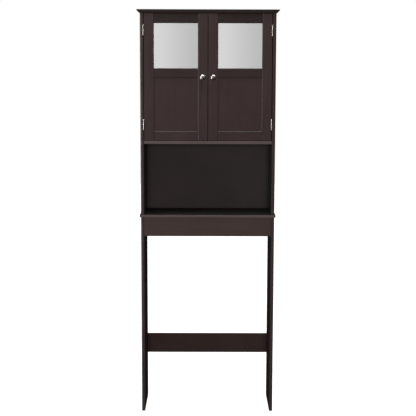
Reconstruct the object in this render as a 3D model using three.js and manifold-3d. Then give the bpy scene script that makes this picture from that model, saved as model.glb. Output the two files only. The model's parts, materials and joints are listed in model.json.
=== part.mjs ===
// Over-the-toilet storage rack: a narrow cabinet with two glazed doors above an open niche,
// carried on two panel legs that stand either side of the toilet.
// Millimetres. +Z is up, the front faces -Y, and the origin is under the middle of the rack, on the floor.
import * as THREE from "three";
import { mergeVertices } from "three/addons/utils/BufferGeometryUtils.js";
import Module from "manifold-3d";

const wasm = await Module();
wasm.setup();

// ---------------------------------------------------------------- driving dimensions

// Whole rack
const HEIGHT = 1700;
const BODY_WIDTH = 560;
const BODY_DEPTH = 220;
const BOARD = 14; // sides, legs, cabinet floor, inner shelf, apron and stretcher
const SEAM = 0.25; // joint line between boards and fitted pieces

// Crown board
const CROWN_THICKNESS = 14;
const CROWN_SIDE_OVERHANG = 12.5;
const CROWN_FRONT_OVERHANG = 12;
const CROWN_CHAMFER = 10;

// Heights of the compartments
const CABINET_OPENING = 522;
const NICHE_OPENING = 295.5;

// Ledge shelf under the niche
const LEDGE_THICKNESS = 12;
const LEDGE_SIDE_OVERHANG = 5;
const LEDGE_FRONT_OVERHANG = 6;

// Leg frame
const APRON_HEIGHT = 79.5;
const STRETCHER_HEIGHT = 85;
const STRETCHER_FROM_FLOOR = 202.5;

// Nail-on glides under the legs
const GLIDE_RADIUS = 6.5;
const GLIDE_THICKNESS = 2.5;
const GLIDE_EDGE = 1;
const GLIDE_NAIL_RADIUS = 1;
const GLIDE_NAIL_LENGTH = 12;
const GLIDE_NAIL_POINT = 2;
const GLIDE_INSET = 20; // from the front and back edges of a leg

// Back panel in its groove
const BACK_THICKNESS = 3;
const BACK_INSET = 8; // from the rear edge of the sides to the back of the panel
const BACK_GROOVE_DEPTH = 6;
const BACK_SLACK = 1; // left at the bottom of the groove

// Adjustable inner shelf on pins
const SHELF_FRONT_SETBACK = 40; // from the front edge of the sides
const SHELF_END_GAP = 1;
const PIN_RADIUS = 2.5;
const PIN_REACH = 8; // how far a pin stands out under the shelf
const PIN_DEPTH = 8; // how far it sits in the side panel
const PIN_HOLE_GAP = 0.25;
const PIN_FRONT_INSET = 30; // from the front edge of the shelf
const PIN_BACK_INSET = 30; // from the back edge of the shelf
const PIN_PITCH = 32;
const PIN_ROWS = 5;

// Doors
const DOOR_GAP = 1.5; // above and below each door
const MEETING_GAP = 1.75; // between the two doors
const DOOR_THICKNESS = 16;
const STILE_WIDTH = 41;
const TOP_RAIL = 39.5;
const MIDDLE_RAIL = 39.5;
const BOTTOM_RAIL = 38.5;
const GLASS_SIGHT_HEIGHT = 183;
const PANEL_THICKNESS = 5;
const GLASS_THICKNESS = 4;
const FACE_LIP = 6; // frame in front of the panel and the glass
const GROOVE_DEPTH = 8;
const GROOVE_SLACK = 1; // left at the bottom of a groove or rabbet
const GROOVE_STOP = 6; // solid wood left at each end of a stile

// Knobs
const KNOB_RADIUS = 11.75;
const KNOB_PROJECTION = 24;
const KNOB_NECK_RADIUS = 4.5;
const KNOB_FOOT_RADIUS = 7;
const KNOB_FOOT_THICKNESS = 1.5;
const KNOB_FOOT_FLARE = 3.5; // height of the flare from the foot into the neck
const KNOB_HEAD_HEIGHT = 11;
const KNOB_EDGE_ROUND = 3;
const KNOB_FROM_FREE_EDGE = 21;
const SCREW_RADIUS = 2;
const SCREW_HEAD_RADIUS = 4;
const SCREW_HEAD_THICKNESS = 2.5;
const SCREW_IN_KNOB = 9;

// Butt hinges
const HINGE_LENGTH = 44;
const HINGE_KNUCKLES = 5;
const BARREL_RADIUS = 3.5;
const HINGE_PIN_RADIUS = 1.5;
const HINGE_PIN_GAP = 0.25;
const HINGE_PIN_CAP = 1.25; // height of the domed cap at each end of the pin
const LEAF_THICKNESS = 0.8;
const LEAF_PARTING = 0.4; // between the two closed leaves
const LEAF_WIDTH = 12.5;
const HINGE_FROM_DOOR_TOP = 68;
const HINGE_FROM_DOOR_BOTTOM = 66;

// Double magnetic catch under the crown
const CATCH_WIDTH = 48;
const CATCH_DEPTH = 20;
const CATCH_HEIGHT = 14;
const MAGNET_WIDTH = 14;
const MAGNET_DEPTH = 10;
const MAGNET_HEIGHT = 7;
const CATCH_WALL = 3;
const STRIKE_THICKNESS = 1.25;
const STRIKE_WIDTH = 18;

// Facets round a turned piece
const ROUND = 16;
const KNOB_ROUND = 24;

// ---------------------------------------------------------------- worked-out places

const crownBottom = HEIGHT - CROWN_THICKNESS;
const floorTop = crownBottom - CABINET_OPENING;
const floorBottom = floorTop - BOARD;
const ledgeTop = floorBottom - NICHE_OPENING;
const ledgeBottom = ledgeTop - LEDGE_THICKNESS;
const legBottom = GLIDE_THICKNESS + SEAM;
const halfWidth = BODY_WIDTH / 2;
const halfInside = halfWidth - BOARD;
const front = -BODY_DEPTH;

const backRear = -BACK_INSET;
const backFront = backRear - BACK_THICKNESS;
const backGroove = [backFront - SEAM, backRear + SEAM];
const insideRear = backFront - SEAM; // where the floor and the shelf stop

const hingeGap = LEAF_PARTING + 2 * (LEAF_THICKNESS + SEAM); // two closed leaves fill it
const doorWidth = halfInside - hingeGap - MEETING_GAP / 2;
const doorTop = crownBottom - DOOR_GAP;
const doorBottom = floorTop + DOOR_GAP;
const glassSight = [doorTop - TOP_RAIL - GLASS_SIGHT_HEIGHT, doorTop - TOP_RAIL];
const panelSight = [doorBottom + BOTTOM_RAIL, glassSight[0] - MIDDLE_RAIL];
const doorMiddle = (doorTop + doorBottom) / 2;
const doorBack = front + DOOR_THICKNESS;

const axisX = halfInside - hingeGap / 2;
const axisY = front - BARREL_RADIUS - SEAM;
const axisToEdge = hingeGap / 2;
const axisToFace = BARREL_RADIUS + SEAM;

const shelfMiddle = (glassSight[0] + panelSight[1]) / 2;
const shelfBottom = shelfMiddle - BOARD / 2;
const shelfFront = front + SHELF_FRONT_SETBACK;
const pinLevel = shelfBottom - SEAM - PIN_RADIUS;
const pinPlaces = [shelfFront + PIN_FRONT_INSET, insideRear - PIN_BACK_INSET];

const strikeBack = doorBack + SEAM + STRIKE_THICKNESS;
const catchFront = strikeBack + SEAM;
const catchTop = crownBottom - SEAM;
const magnetCentre = (CATCH_WIDTH - MAGNET_WIDTH) / 2 - CATCH_WALL;

// ---------------------------------------------------------------- materials

const finish = (color, roughness, metalness = 0) =>
  new THREE.MeshStandardMaterial({ color, roughness, metalness });
const espresso = finish("#3b3331", 0.42);
const frostedGlass = finish("#cfcfce", 0.55);
const satinNickel = finish("#b9b5ae", 0.28, 1);
const zincSteel = finish("#a7a7a5", 0.35, 1);
const darkPlastic = finish("#2a2422", 0.55);
const glidePlastic = finish("#241f1d", 0.6);
const ferrite = finish("#3c3c3e", 0.7);

// ---------------------------------------------------------------- making solids

/** A block between two values on each axis. */
function block([x0, x1], [y0, y1], [z0, z1]) {
  const geometry = new THREE.BoxGeometry(x1 - x0, y1 - y0, z1 - z0);
  return geometry.translate((x0 + x1) / 2, (y0 + y1) / 2, (z0 + z1) / 2);
}

/** A round bar along "x", "y" or "z", centred at a point. */
function bar(radius, length, along, centre, facets = ROUND) {
  const geometry = new THREE.CylinderGeometry(radius, radius, length, facets);
  if (along === "x") geometry.rotateZ(Math.PI / 2);
  if (along === "z") geometry.rotateX(Math.PI / 2);
  return geometry.translate(...centre);
}

/** A solid turned about Z from [radius, height] points listed upwards, first and last on the axis. */
function turned(points, facets = ROUND) {
  const profile = points.map(([radius, height]) => new THREE.Vector2(radius, height));
  return new THREE.LatheGeometry(profile, facets).rotateX(Math.PI / 2);
}

/** Points on a quarter or other arc of an outline, from one angle to another in degrees. */
function arc(centreR, centreZ, radiusR, radiusZ, from, to, steps) {
  return Array.from({ length: steps + 1 }, (_, i) => {
    const angle = THREE.MathUtils.degToRad(from + ((to - from) * i) / steps);
    return [centreR + radiusR * Math.cos(angle), centreZ + radiusZ * Math.sin(angle)];
  });
}

/** The closed solid that a geometry bounds. */
function solidOf(geometry) {
  const bare = geometry.clone();
  bare.deleteAttribute("normal");
  bare.deleteAttribute("uv");
  const merged = mergeVertices(bare, 1e-4);
  return new wasm.Manifold(
    new wasm.Mesh({
      numProp: 3,
      vertProperties: new Float32Array(merged.attributes.position.array),
      triVerts: new Uint32Array(merged.index.array),
    }),
  );
}

/** The geometry of a solid. */
function geometryOf(solid) {
  const mesh = solid.getMesh();
  const geometry = new THREE.BufferGeometry();
  geometry.setAttribute("position", new THREE.BufferAttribute(mesh.vertProperties, 3));
  geometry.setIndex(new THREE.BufferAttribute(mesh.triVerts, 1));
  const loose = geometry.toNonIndexed();
  loose.computeVertexNormals();
  return loose;
}

/** A geometry with others joined on and then others cut away. */
function shaped(base, { join = [], cut = [] }) {
  let solid = solidOf(base);
  for (const added of join) solid = solid.add(solidOf(added));
  for (const removed of cut) solid = solid.subtract(solidOf(removed));
  return geometryOf(solid);
}

/** Adds a named mesh to a group, with its own origin at the middle of its geometry. */
function place(group, name, material, geometry) {
  geometry.computeBoundingBox();
  const middle = geometry.boundingBox.getCenter(new THREE.Vector3());
  geometry.translate(-middle.x, -middle.y, -middle.z);
  const mesh = new THREE.Mesh(geometry, material);
  mesh.name = name;
  mesh.position.copy(middle);
  group.add(mesh);
}

/** The span from a to b on the side given by sign, in rising order. */
function mirrored(sign, a, b) {
  return sign > 0 ? [a, b] : [-b, -a];
}

const SIDES = [
  { side: "left", sign: -1 },
  { side: "right", sign: 1 },
];

// ---------------------------------------------------------------- carcass

/** The crown board: a short square lip over a chamfer that runs round the front and both ends. */
function addCrown(group) {
  const half = halfWidth + CROWN_SIDE_OVERHANG;
  const nose = front - CROWN_FRONT_OVERHANG;
  const ends = new THREE.Shape([
    new THREE.Vector2(-half, HEIGHT),
    new THREE.Vector2(-half, crownBottom + CROWN_CHAMFER),
    new THREE.Vector2(-half + CROWN_CHAMFER, crownBottom),
    new THREE.Vector2(half - CROWN_CHAMFER, crownBottom),
    new THREE.Vector2(half, crownBottom + CROWN_CHAMFER),
    new THREE.Vector2(half, HEIGHT),
  ]);
  const section = new THREE.Shape([
    new THREE.Vector2(0, HEIGHT),
    new THREE.Vector2(nose, HEIGHT),
    new THREE.Vector2(nose, crownBottom + CROWN_CHAMFER),
    new THREE.Vector2(nose + CROWN_CHAMFER, crownBottom),
    new THREE.Vector2(0, crownBottom),
  ]);
  const lengthways = new THREE.ExtrudeGeometry(section, { depth: 2 * half, bevelEnabled: false });
  lengthways.rotateX(Math.PI / 2);
  lengthways.rotateZ(Math.PI / 2);
  lengthways.translate(-half, 0, 0);
  const through = new THREE.ExtrudeGeometry(ends, { depth: -nose, bevelEnabled: false });
  through.rotateX(Math.PI / 2);
  const blank = geometryOf(solidOf(through).intersect(solidOf(lengthways)));
  const groove = block(
    [-halfInside - BACK_GROOVE_DEPTH, halfInside + BACK_GROOVE_DEPTH],
    backGroove,
    [crownBottom - 1, crownBottom + BACK_GROOVE_DEPTH],
  );
  place(group, "crown_top", espresso, shaped(blank, { cut: [groove] }));
}

/** An upper side panel, with the groove for the back panel and two columns of shelf-pin holes. */
function addSidePanel(group, side, sign) {
  const panel = block(
    mirrored(sign, halfInside, halfWidth),
    [front, 0],
    [ledgeTop + SEAM, crownBottom - SEAM],
  );
  const cuts = [
    block(
      mirrored(sign, halfInside - 1, halfInside + BACK_GROOVE_DEPTH),
      backGroove,
      [ledgeTop, crownBottom],
    ),
  ];
  const holeDepth = PIN_DEPTH + PIN_HOLE_GAP;
  for (const y of pinPlaces) {
    for (let row = 0; row < PIN_ROWS; row += 1) {
      const z = pinLevel + (row - (PIN_ROWS - 1) / 2) * PIN_PITCH;
      const x = sign * (halfInside + holeDepth / 2 - 1);
      cuts.push(bar(PIN_RADIUS + PIN_HOLE_GAP, holeDepth + 2, "x", [x, y, z]));
    }
  }
  place(group, side + "_side_panel", espresso, shaped(panel, { cut: cuts }));
}

/** The board that the doors close over, between the side panels. */
function addCabinetFloor(group) {
  const inside = halfInside - SEAM;
  place(
    group,
    "cabinet_floor",
    espresso,
    block([-inside, inside], [front, insideRear], [floorBottom, floorTop]),
  );
}

/** The thin back of the cabinet and the niche, held in grooves on all four sides. */
function addBackPanel(group) {
  const grip = BACK_GROOVE_DEPTH - BACK_SLACK;
  place(
    group,
    "back_panel",
    espresso,
    block(
      [-halfInside - grip, halfInside + grip],
      [backFront, backRear],
      [ledgeTop - grip, crownBottom + grip],
    ),
  );
}

/** The adjustable shelf inside the cabinet, and its four pins. */
function addInnerShelf(group) {
  const half = halfInside - SHELF_END_GAP;
  place(
    group,
    "inner_shelf",
    espresso,
    block([-half, half], [shelfFront, insideRear - SHELF_END_GAP], [shelfBottom, shelfBottom + BOARD]),
  );
  for (const { side, sign } of SIDES) {
    ["front", "back"].forEach((end, i) => {
      const x = sign * (halfInside + (PIN_DEPTH - PIN_REACH) / 2);
      place(
        group,
        `${side}_${end}_shelf_pin`,
        zincSteel,
        bar(PIN_RADIUS, PIN_DEPTH + PIN_REACH, "x", [x, pinPlaces[i], pinLevel]),
      );
    });
  }
}

/** The ledge shelf, proud of the sides and the front, grooved on top for the back panel. */
function addLedge(group) {
  const half = halfWidth + LEDGE_SIDE_OVERHANG;
  const board = block([-half, half], [front - LEDGE_FRONT_OVERHANG, 0], [ledgeBottom, ledgeTop]);
  const groove = block(
    [-halfInside - BACK_GROOVE_DEPTH, halfInside + BACK_GROOVE_DEPTH],
    backGroove,
    [ledgeTop - BACK_GROOVE_DEPTH, ledgeTop + 1],
  );
  place(group, "ledge_shelf", espresso, shaped(board, { cut: [groove] }));
}

/** The front apron under the ledge and the low stretcher at the back, both between the legs. */
function addCrossRails(group) {
  const inside = halfInside - SEAM;
  place(
    group,
    "front_apron",
    espresso,
    block(
      [-inside, inside],
      [front, front + BOARD],
      [ledgeBottom - SEAM - APRON_HEIGHT, ledgeBottom - SEAM],
    ),
  );
  place(
    group,
    "rear_stretcher",
    espresso,
    block(
      [-inside, inside],
      [-BOARD, 0],
      [STRETCHER_FROM_FLOOR, STRETCHER_FROM_FLOOR + STRETCHER_HEIGHT],
    ),
  );
}

/** A leg panel with its two nail-on glides. */
function addLeg(group, side, sign) {
  const middle = (sign * (halfInside + halfWidth)) / 2;
  const places = { front: front + GLIDE_INSET, back: -GLIDE_INSET };
  const bore = GLIDE_NAIL_LENGTH + 1;
  const holes = Object.values(places).map((y) =>
    bar(GLIDE_NAIL_RADIUS + SEAM, 2 * bore, "z", [middle, y, legBottom], 12),
  );
  const panel = block(
    mirrored(sign, halfInside, halfWidth),
    [front, 0],
    [legBottom, ledgeBottom - SEAM],
  );
  place(group, side + "_leg_panel", espresso, shaped(panel, { cut: holes }));
  for (const [end, y] of Object.entries(places)) {
    const outline = [
      [0, 0],
      [GLIDE_RADIUS - GLIDE_EDGE, 0],
      [GLIDE_RADIUS, GLIDE_EDGE],
      [GLIDE_RADIUS, GLIDE_THICKNESS],
      [GLIDE_NAIL_RADIUS, GLIDE_THICKNESS],
      [GLIDE_NAIL_RADIUS, GLIDE_THICKNESS + GLIDE_NAIL_LENGTH - GLIDE_NAIL_POINT],
      [0, GLIDE_THICKNESS + GLIDE_NAIL_LENGTH],
    ];
    place(group, `${side}_${end}_glide`, glidePlastic, turned(outline).translate(middle, y, 0));
  }
}

/** The double magnetic catch under the crown: a housing with two pockets, and a magnet in each. */
function addCatch(group) {
  const middle = catchTop - CATCH_HEIGHT / 2;
  const magnetHalf = MAGNET_WIDTH / 2;
  const pockets = SIDES.map(({ sign }) =>
    block(
      [sign * magnetCentre - magnetHalf - SEAM, sign * magnetCentre + magnetHalf + SEAM],
      [catchFront - 1, catchFront + MAGNET_DEPTH + SEAM],
      [middle - MAGNET_HEIGHT / 2 - SEAM, middle + MAGNET_HEIGHT / 2 + SEAM],
    ),
  );
  const housing = block(
    [-CATCH_WIDTH / 2, CATCH_WIDTH / 2],
    [catchFront + SEAM, catchFront + SEAM + CATCH_DEPTH],
    [catchTop - CATCH_HEIGHT, catchTop],
  );
  place(group, "catch_housing", darkPlastic, shaped(housing, { cut: pockets }));
  for (const { side, sign } of SIDES) {
    place(
      group,
      side + "_catch_magnet",
      ferrite,
      block(
        [sign * magnetCentre - magnetHalf, sign * magnetCentre + magnetHalf],
        [catchFront, catchFront + MAGNET_DEPTH],
        [middle - MAGNET_HEIGHT / 2, middle + MAGNET_HEIGHT / 2],
      ),
    );
  }
}

// ---------------------------------------------------------------- hinges

/**
 * One leaf of a butt hinge, with the pin's axis on Z and the middle of the barrel at the origin.
 * toward is the side of the closed gap that the leaf lies on; knuckles lists the ones it carries.
 */
function hingeLeaf(toward, knuckles) {
  const pitch = (HINGE_LENGTH + SEAM) / HINGE_KNUCKLES;
  const across = mirrored(toward, LEAF_PARTING / 2, LEAF_PARTING / 2 + LEAF_THICKNESS);
  const plateStart = BARREL_RADIUS + SEAM;
  const plate = block(across, [plateStart, plateStart + LEAF_WIDTH], [-HINGE_LENGTH / 2, HINGE_LENGTH / 2]);
  const rings = [];
  const bores = [];
  for (const index of knuckles) {
    const low = -HINGE_LENGTH / 2 + index * pitch;
    const high = low + pitch - SEAM;
    const centre = [0, 0, (low + high) / 2];
    rings.push(bar(BARREL_RADIUS, high - low, "z", centre));
    rings.push(block(across, [BARREL_RADIUS / 2, plateStart + 1], [low, high]));
    bores.push(bar(HINGE_PIN_RADIUS + HINGE_PIN_GAP, pitch, "z", centre));
  }
  return shaped(plate, { join: rings, cut: bores });
}

/** The hinge pin, with a domed cap over each end of the barrel. */
function hingePin() {
  const base = HINGE_LENGTH / 2 + SEAM;
  const upper = arc(0, base, BARREL_RADIUS, HINGE_PIN_CAP, 0, 90, 4);
  const lower = upper.map(([radius, height]) => [radius, -height]).reverse();
  lower[0][0] = 0;
  upper[upper.length - 1][0] = 0;
  return turned([...lower, [HINGE_PIN_RADIUS, -base], [HINGE_PIN_RADIUS, base], ...upper]);
}

// ---------------------------------------------------------------- doors

/** The knob, turned: a flared foot, a neck and a flat-domed head, with a blind hole for its screw. */
function knobGeometry() {
  const head = KNOB_PROJECTION - KNOB_HEAD_HEIGHT;
  const widest = head + KNOB_EDGE_ROUND;
  const neckTop = head - KNOB_EDGE_ROUND;
  const round = KNOB_EDGE_ROUND;
  const foot = KNOB_FOOT_THICKNESS;
  const flare = KNOB_FOOT_RADIUS - KNOB_NECK_RADIUS;
  const body = turned(
    [
      [0, 0],
      [KNOB_FOOT_RADIUS, 0],
      ...arc(KNOB_FOOT_RADIUS, foot + KNOB_FOOT_FLARE, flare, KNOB_FOOT_FLARE, 270, 180, 4),
      ...arc(KNOB_NECK_RADIUS + round, neckTop, round, round, 180, 90, 3),
      ...arc(KNOB_RADIUS - round, widest, round, round, 270, 360, 4),
      ...arc(0, widest, KNOB_RADIUS, KNOB_PROJECTION - widest, 0, 90, 9).slice(1, -1),
      [0, KNOB_PROJECTION],
    ],
    KNOB_ROUND,
  );
  const hole = bar(SCREW_RADIUS + SEAM, 2 * (SCREW_IN_KNOB + 1), "z", [0, 0, 0]);
  return shaped(body, { cut: [hole] }).rotateX(Math.PI / 2);
}

/** The knob screw: a domed head behind the stile and a shank that reaches into the knob. */
function knobScrew() {
  const shank = DOOR_THICKNESS + 2 * SEAM + SCREW_IN_KNOB;
  const outline = [
    [0, -SCREW_HEAD_THICKNESS],
    [SCREW_HEAD_RADIUS * 0.7, -SCREW_HEAD_THICKNESS],
    [SCREW_HEAD_RADIUS, -SCREW_HEAD_THICKNESS * 0.4],
    [SCREW_HEAD_RADIUS, 0],
    [SCREW_RADIUS, 0],
    [SCREW_RADIUS, shank],
    [0, shank],
  ];
  return turned(outline).rotateX(Math.PI / 2);
}

/** A door, its hardware and the leaves of its hinges, in a group whose origin is on the hinge axis. */
function addDoor(group, side, sign) {
  const door = new THREE.Group();
  door.position.set(sign * axisX, axisY, 0);
  group.add(door);
  const name = (piece) => `${side}_door_${piece}`;
  // u runs from the hinged edge to the free edge, y from the door's face to its back.
  const across = (u0, u1) => mirrored(-sign, axisToEdge + u0, axisToEdge + u1);
  const back = axisToFace + DOOR_THICKNESS;
  const inFace = [axisToFace, back];
  const grooveY = [axisToFace + FACE_LIP, axisToFace + FACE_LIP + PANEL_THICKNESS + 2 * SEAM];
  const tongueY = [grooveY[0] + SEAM, grooveY[1] - SEAM];
  const rabbetY = [grooveY[0], back + 1];
  const glazed = [glassSight[0] - GROOVE_DEPTH, glassSight[1] + GROOVE_DEPTH];
  const sightU = [STILE_WIDTH, doorWidth - STILE_WIDTH];
  const knobU = doorWidth - KNOB_FROM_FREE_EDGE;
  const knobX = -sign * (axisToEdge + knobU);

  const stile = (edgeU, grooveU, holes) =>
    shaped(block(across(...edgeU), inFace, [doorBottom, doorTop]), {
      cut: [
        block(across(...grooveU), grooveY, [doorBottom + GROOVE_STOP, doorTop - GROOVE_STOP]),
        block(across(...grooveU), rabbetY, glazed),
        ...holes,
      ],
    });
  const screwHole = bar(SCREW_RADIUS + SEAM, 3 * DOOR_THICKNESS, "y", [knobX, back, doorMiddle]);
  place(
    door,
    name("hinge_stile"),
    espresso,
    stile([0, sightU[0]], [sightU[0] - GROOVE_DEPTH, sightU[0] + 1], []),
  );
  place(
    door,
    name("knob_stile"),
    espresso,
    stile([sightU[1], doorWidth], [sightU[1] - 1, sightU[1] + GROOVE_DEPTH], [screwHole]),
  );

  // A rail butts between the stiles and has a tongue at each end in their grooves.
  const tongue = GROOVE_DEPTH - GROOVE_SLACK;
  const rail = (piece, [low, high], [tongueLow, tongueHigh], cuts) =>
    place(
      door,
      name(piece),
      espresso,
      shaped(block(across(sightU[0] + SEAM, sightU[1] - SEAM), inFace, [low, high]), {
        join: [block(across(sightU[0] - tongue, sightU[1] + tongue), tongueY, [tongueLow, tongueHigh])],
        cut: cuts,
      }),
    );
  const wholeWidth = across(0, doorWidth);
  const rabbet = block(wholeWidth, rabbetY, glazed);
  const grooved = [panelSight[0] - GROOVE_DEPTH, panelSight[1] + GROOVE_DEPTH];
  const panelGroove = block(wholeWidth, grooveY, grooved);
  const endStop = GROOVE_STOP + SEAM;
  rail("top_rail", [glassSight[1], doorTop], [glazed[1] + SEAM, doorTop - endStop], [rabbet]);
  rail(
    "middle_rail",
    [panelSight[1], glassSight[0]],
    [panelSight[1] + GROOVE_DEPTH + SEAM, glazed[0] - SEAM],
    [rabbet, panelGroove],
  );
  rail(
    "bottom_rail",
    [doorBottom, panelSight[0]],
    [doorBottom + endStop, panelSight[0] - GROOVE_DEPTH - SEAM],
    [panelGroove],
  );

  // The panel and the glass reach past the sight edge into the groove and the rabbet.
  const reach = GROOVE_DEPTH - GROOVE_SLACK;
  const past = ([low, high], by) => [low - by, high + by];
  place(
    door,
    name("panel"),
    espresso,
    block(across(...past(sightU, reach)), tongueY, past(panelSight, reach)),
  );
  const glassY = [grooveY[0] + SEAM, grooveY[0] + SEAM + GLASS_THICKNESS];
  place(
    door,
    name("glass"),
    frostedGlass,
    block(across(...past(sightU, reach)), glassY, past(glassSight, reach)),
  );
  const retainerY = [glassY[1] + SEAM, back - SEAM];
  place(
    door,
    name("glass_retainer"),
    darkPlastic,
    shaped(block(across(...past(sightU, reach)), retainerY, past(glassSight, reach)), {
      cut: [block(across(...sightU), [retainerY[0] - 1, retainerY[1] + 1], glassSight)],
    }),
  );

  place(
    door,
    name("knob"),
    satinNickel,
    knobGeometry().translate(knobX, axisToFace - SEAM, doorMiddle),
  );
  place(
    door,
    name("knob_screw"),
    zincSteel,
    knobScrew().translate(knobX, back + SEAM, doorMiddle),
  );
  const strikeX = sign * magnetCentre - sign * axisX;
  place(
    door,
    name("strike_plate"),
    zincSteel,
    block(
      [strikeX - STRIKE_WIDTH / 2, strikeX + STRIKE_WIDTH / 2],
      [back + SEAM, back + SEAM + STRIKE_THICKNESS],
      [catchTop - CATCH_HEIGHT, doorTop - SEAM],
    ),
  );

  const hinges = {
    upper: doorTop - HINGE_FROM_DOOR_TOP,
    lower: doorBottom + HINGE_FROM_DOOR_BOTTOM,
  };
  const even = Array.from({ length: HINGE_KNUCKLES }, (_, i) => i).filter((i) => i % 2 === 0);
  const odd = even.slice(0, -1).map((i) => i + 1);
  for (const [level, z] of Object.entries(hinges)) {
    const label = `${side}_${level}_hinge`;
    place(door, label + "_door_leaf", satinNickel, hingeLeaf(-sign, odd).translate(0, 0, z));
    place(
      group,
      label + "_cabinet_leaf",
      satinNickel,
      hingeLeaf(sign, even).translate(sign * axisX, axisY, z),
    );
    place(group, label + "_pin", satinNickel, hingePin().translate(sign * axisX, axisY, z));
  }
}

// ---------------------------------------------------------------- the rack

const rack = new THREE.Group();
const assembly = new THREE.Group();
assembly.position.y = (BODY_DEPTH + KNOB_PROJECTION + SEAM) / 2;
rack.add(assembly);

addCrown(assembly);
addCabinetFloor(assembly);
addBackPanel(assembly);
addInnerShelf(assembly);
addLedge(assembly);
addCrossRails(assembly);
addCatch(assembly);
for (const { side, sign } of SIDES) {
  addSidePanel(assembly, side, sign);
  addLeg(assembly, side, sign);
  addDoor(assembly, side, sign);
}

export default rack;
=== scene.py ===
"""Looks of the over-the-toilet storage rack: a two-door cabinet on panel legs in espresso lacquer.

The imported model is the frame. Boards are worked from copies of its nodes, with eased edges; knobs,
hinges, screws, pins and glides are modelled afresh at the places that the frame gives. Metres, with
the front towards -Y.
"""

import json
import logging
import math
from collections.abc import Callable, Iterator, Sequence
from contextlib import contextmanager
from dataclasses import dataclass, field
from enum import Enum

import bpy
from mathutils import Matrix, Vector

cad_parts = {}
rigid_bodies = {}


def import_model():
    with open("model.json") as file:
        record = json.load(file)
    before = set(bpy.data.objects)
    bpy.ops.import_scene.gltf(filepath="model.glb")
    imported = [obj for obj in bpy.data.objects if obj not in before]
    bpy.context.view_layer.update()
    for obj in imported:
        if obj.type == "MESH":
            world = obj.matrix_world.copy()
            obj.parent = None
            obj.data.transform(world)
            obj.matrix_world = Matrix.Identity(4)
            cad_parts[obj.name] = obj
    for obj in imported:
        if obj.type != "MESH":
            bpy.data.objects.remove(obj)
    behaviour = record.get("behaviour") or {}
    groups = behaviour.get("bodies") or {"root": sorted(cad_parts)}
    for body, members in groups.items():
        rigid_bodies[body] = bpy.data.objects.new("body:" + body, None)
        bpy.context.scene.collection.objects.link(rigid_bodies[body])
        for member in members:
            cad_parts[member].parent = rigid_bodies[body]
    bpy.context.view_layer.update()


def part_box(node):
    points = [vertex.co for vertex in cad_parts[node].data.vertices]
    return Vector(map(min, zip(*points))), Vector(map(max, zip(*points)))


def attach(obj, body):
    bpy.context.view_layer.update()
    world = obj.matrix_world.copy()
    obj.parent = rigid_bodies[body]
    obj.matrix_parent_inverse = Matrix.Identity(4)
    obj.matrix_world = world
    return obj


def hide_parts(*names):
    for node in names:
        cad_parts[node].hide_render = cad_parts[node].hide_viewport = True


LOG = logging.getLogger("storage_rack")
MM = 0.001
SAME_PLACE = 0.02 * MM
SIDES = {"left": -1, "right": 1}
TO_FRONT = Vector((0, -1, 0))
# Material numbers on a board: plain lacquer, a lighter lacquer for the painted highlight on arrises, a darker
# one for painted shade on edges, and a brighter one for the painted highlight on rims.
PLAIN, LIT_ARRIS, SHADED_EDGE, LIT_RIM = range(4)  # material numbers on a board

Tree = bpy.types.NodeTree
Socket = bpy.types.NodeSocket
Piece = bpy.types.Object
Test = Callable[[Vector, Vector], bool]


class Pick(Enum):
    """What is selected in edit mode: vertices or edges."""

    VERTEX = (True, False, False)
    EDGE = (False, True, False)


class Grain(Enum):
    """The way a board's grain runs, as how much the pattern is drawn out along X, Y and Z."""

    UPRIGHT = (1.0, 1.0, 0.035)
    ACROSS = (0.035, 1.0, 1.0)


class Boolean(Enum):
    """How one solid is combined with another."""

    JOIN = "UNION"
    CUT = "DIFFERENCE"


class Slot(Enum):
    """Material slots that the record names."""

    BOARD = "espresso_board"
    BACK = "hardboard_back"
    GLASS = "frosted_glass"
    NICKEL = "satin_nickel"
    ZINC = "zinc_steel"
    PLASTIC = "moulded_plastic"
    GLIDE = "glide_plastic"
    FERRITE = "ferrite_magnet"


# ---------------------------------------------------------------- node trees


def linear(code: str) -> tuple[float, float, float, float]:
    """Turns an sRGB hex colour to linear.

    Args:
        code: A colour such as "#3b3331".

    Returns:
        Linear red, green and blue, and an alpha of 1.
    """
    shares = [int(code[i : i + 2], 16) / 255 for i in (1, 3, 5)]
    red, green, blue = (s / 12.92 if s <= 0.04045 else ((s + 0.055) / 1.055) ** 2.4 for s in shares)
    return red, green, blue, 1.0


def add_node(tree: Tree, kind: str, inputs: dict | None = None, **settings) -> bpy.types.Node:
    """Adds a node with its settings and its links.

    Args:
        tree: The node tree it goes in.
        kind: The node's type.
        inputs: Values by input name or number; a socket is linked, and anything else is set.
        **settings: The node's own properties.

    Returns:
        The node.
    """
    made = tree.nodes.new(kind)
    for key, value in settings.items():
        setattr(made, key, value)
    for key, value in (inputs or {}).items():
        if isinstance(value, Socket):
            tree.links.new(value, made.inputs[key])
        else:
            made.inputs[key].default_value = value
    return made


def noise(tree: Tree, place: Socket, size: float, **inputs: float) -> Socket:
    """Adds noise.

    Args:
        tree: The node tree it goes in.
        place: Its coordinates.
        size: How large its features are.
        **inputs: Its other inputs by name.

    Returns:
        Its factor.
    """
    return add_node(tree, "ShaderNodeTexNoise", {"Vector": place, "Scale": 1 / size, **inputs}).outputs["Fac"]


def blend(tree: Tree, share: Socket, first: str, second: str) -> Socket:
    """Mixes two hex colours by a share."""
    inputs = {"Factor": share, "A": linear(first), "B": linear(second)}
    return add_node(tree, "ShaderNodeMix", inputs, data_type="RGBA").outputs["Result"]


def uneven(tree: Tree, share: Socket, roughness: float, below: float, above: float) -> Socket:
    """Spreads a roughness by noise.

    Args:
        tree: The node tree it goes in.
        share: The noise.
        roughness: The middle value.
        below: How far it falls below that.
        above: How far it rises above that.

    Returns:
        The roughness.
    """
    inputs = {"Value": share, "From Min": 0.3, "From Max": 0.7}
    inputs |= {"To Min": roughness - below, "To Max": roughness + above}
    return add_node(tree, "ShaderNodeMapRange", inputs).outputs[0]


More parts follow.
